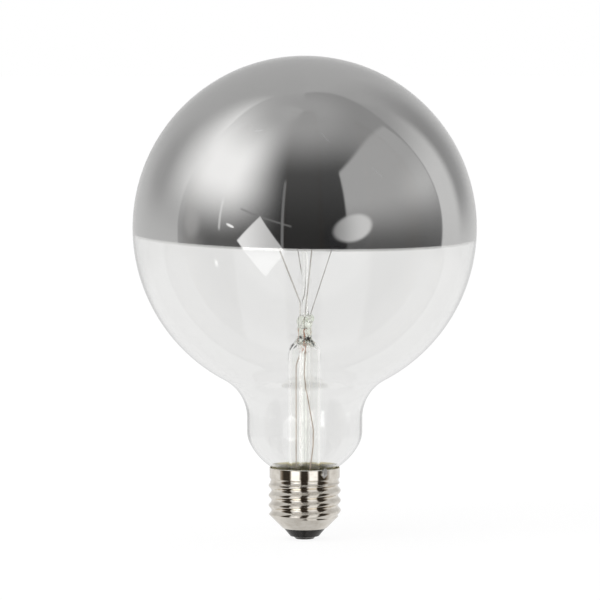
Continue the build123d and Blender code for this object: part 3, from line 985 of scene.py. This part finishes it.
# %% Shell mesh
def shell_mesh(sides=240, step=0.11):
    """Points and faces of the shell, up its outside, over its rim and down its inside."""
    rows = ceil((cap_rim_z - shell_bottom_z) / step)
    heights = [shell_bottom_z + (cap_rim_z - shell_bottom_z) * n / rows for n in range(rows + 1)]
    rolled_rim = [(0.08, 0.0), (0.02, 0.05), (0.0, shell_wall / 2), (0.02, shell_wall - 0.05)]
    route = [(shell_bottom_z, shell_wall / 2)] + [(height, 0.0) for height in heights[1:-2]]
    route += [(cap_rim_z - drop, inset) for drop, inset in rolled_rim]
    route += [(height, shell_wall) for height in heights[1:-2:2][::-1]]
    points, faces = [], []
    for height, inset in route:
        for k in range(sides):
            bearing = 2 * pi * k / sides
            radius = shell_r(bearing, height) - inset
            points.append((radius * cos(bearing), radius * sin(bearing), height))
    for n in range(len(route)):
        m = (n + 1) % len(route)
        for k in range(sides):
            j = (k + 1) % sides
            faces.append((n * sides + k, n * sides + j, m * sides + j, m * sides + k))
    return points, faces


shell_points, shell_faces = shell_mesh()
print("the shell has", len(shell_points), "points")

# %% [markdown]
# Nickel plate is warm grey and bright, and rolling leaves faint lines round the cap. So the noise here
# is laid out by bearing and height, stretched along the bearing. Handling dulls the crests a little. The
# plate doesn't reach the inside of the cap, which is bare brass: the mesh has an attribute for that, 0 on
# the outside and the rim and 1 on the inside. The contact is tin plated and wears the same lines, but its
# colour is darkened nearly to black as painted shade, for the shadow under the cap.

# %% Nickel plate
worn_depth = 0.2


def plate_material(name, dark, light, roughness):
    """Plate between two colours on brass, which shows where the mesh's attribute says so."""
    made, paint = new_material(name)
    place = paint.node("TexCoord", output="Object")
    east, north, height = place.split()
    bearing = paint.maths("ARCTAN2", north, east)
    radius = paint.maths("SQRT", east * east + north * north)
    rolled = paint.node("CombineXYZ", {}, {"X": bearing * 1.5, "Y": height * 4000, "Z": radius * 900})
    lines = cloudy(rolled, 1.0, 4.0)
    stain = cloudy(place, 320.0, 5.0)
    plate = (stain * 0.75 + lines * 0.25).smooth(0.25, 0.75).blend(dark, light)
    worn = (radius / MM).smooth(thread_major_r - worn_depth, thread_major_r)
    bare = paint.node("Attribute", {"attribute_name": "unplated"}, output="Fac")
    brass = stain.blend((0.74, 0.62, 0.25, 1), (0.93, 0.83, 0.42, 1))
    sockets = {
        "Base Color": bare.blend(plate, brass),
        "Metallic": 1.0,
        "Roughness": lines * 0.06 + stain * 0.05 + worn * 0.04 + bare * 0.3 + roughness,
        "Normal": bumped(lines + stain * 0.3, 0.1, 0.00004),
    }
    close_material(paint, sockets)
    return made


nickel_plate = plate_material("nickel_plate", (0.68, 0.63, 0.56, 1), (0.86, 0.82, 0.75, 1), 0.03)
shell = make_piece(
    "rolled_shell", shell_points, shell_faces, nickel_plate, "nickel_plate", ["screw_shell"], sharp=60
)
plated_depth, all_bare_depth = 0.625, 0.875
unplated = shell.data.attributes.new("unplated", "FLOAT", "POINT")
for n, (x, y, z) in enumerate(shell_points):
    depth = (shell_r(atan2(y, x), z) - sqrt(x * x + y * y)) / shell_wall
    share = (depth - plated_depth) / (all_bare_depth - plated_depth)
    unplated.data[n].value = min(max(share, 0.0), 1.0)
# Painted shade: the tin-plated contact gets near-black colours, for the shadow that lies under the cap.
tin_in_painted_shade = plate_material("tin_plate_painted_shade", (0.05, 0.047, 0.045, 1), (0.13, 0.125, 0.12, 1), 0.3)
dress(tin_in_painted_shade, "centre_contact")

# %% [markdown]
# ## Black glass
# The black insulator is glass that was poured hot into the cap's cone, so it is glossy with a faint
# flow in it. Distorting the noise bends its clouds into such a flow.

# %% Black glass
black_glass, paint = new_material("black_glass")
place = paint.node("TexCoord", output="Object")
flow = paint.node("TexNoise", {}, {"Vector": place, "Scale": 300.0, "Detail": 4.0, "Distortion": 1.5})
sockets = {
    "Base Color": flow.smooth(0.35, 0.75).blend((0.01, 0.0095, 0.009, 1), (0.03, 0.027, 0.025, 1)),
    "Roughness": flow * 0.25 + 0.15,
    "Specular IOR Level": 0.3,
    "Normal": bumped(flow, 0.2, 0.00008),
}
close_material(paint, sockets)
dress(black_glass, "cap_insulator")

# %% [markdown]
# ## Solder
# Solder is dull, soft-looking metal with a fine crystal pattern, for which a cell pattern is mixed with
# noise. One drop closes the hole in the contact. Another one ties the side lead to the cap's rim, where it
# ran down a little before it set, so that lump is tall and flat.

# %% Solder
solder, paint = new_material("solder")
place = paint.node("TexCoord", output="Object")
crystal = paint.node("TexVoronoi", {}, {"Vector": place, "Scale": 1800.0}, output="Distance")
skin = cloudy(place, 900.0, 5.0)
colour = (skin * 0.6 + crystal * 0.4).smooth(0.2, 0.75).blend((0.4, 0.39, 0.37, 1), (0.72, 0.71, 0.7, 1))
sockets = {
    "Base Color": colour,
    "Metallic": 1.0,
    "Roughness": skin * 0.3 + 0.25,
    "Normal": bumped(skin + crystal, 0.35, 0.00008),
}
close_material(paint, sockets)
dress(solder, "centre_solder")

solder_azimuth = radians(-56.0)
solder_r = skirt_r + 0.15
solder_z = 25.1
solder_size = (0.6, 1.2, 1.6)
spot = (solder_r * cos(solder_azimuth), solder_r * sin(solder_azimuth), solder_z)
blob = lump(spot, solder_size, rough=0.4, seed=5.0, turn=solder_azimuth, rings=24)
make_piece("solder_run", *blob, solder, "solder", ["side_solder"])

# %% [markdown]
# ## Cement
# The cement that holds the cap on the glass is a powder paste that was baked hard. It is matt, with a fine
# grain and some yellower patches, and only a thin line of it shows at the cap's rim.

# %% Cement
cement, paint = new_material("cement")
place = paint.node("TexCoord", output="Object")
grain = cloudy(place, 2500.0, 6.0)
patch = cloudy(place, 350.0, 2.0)
colour = (grain * 0.5 + patch * 0.5).smooth(0.3, 0.7).blend((0.72, 0.64, 0.36, 1), (0.92, 0.85, 0.56, 1))
sockets = {"Base Color": colour, "Roughness": grain * 0.2 + 0.75, "Normal": bumped(grain, 0.8, 0.0001)}
close_material(paint, sockets)
dress(cement, "capping_cement")

# %% [markdown]
# ## Closing

# %% Finish
print("the scene is built")
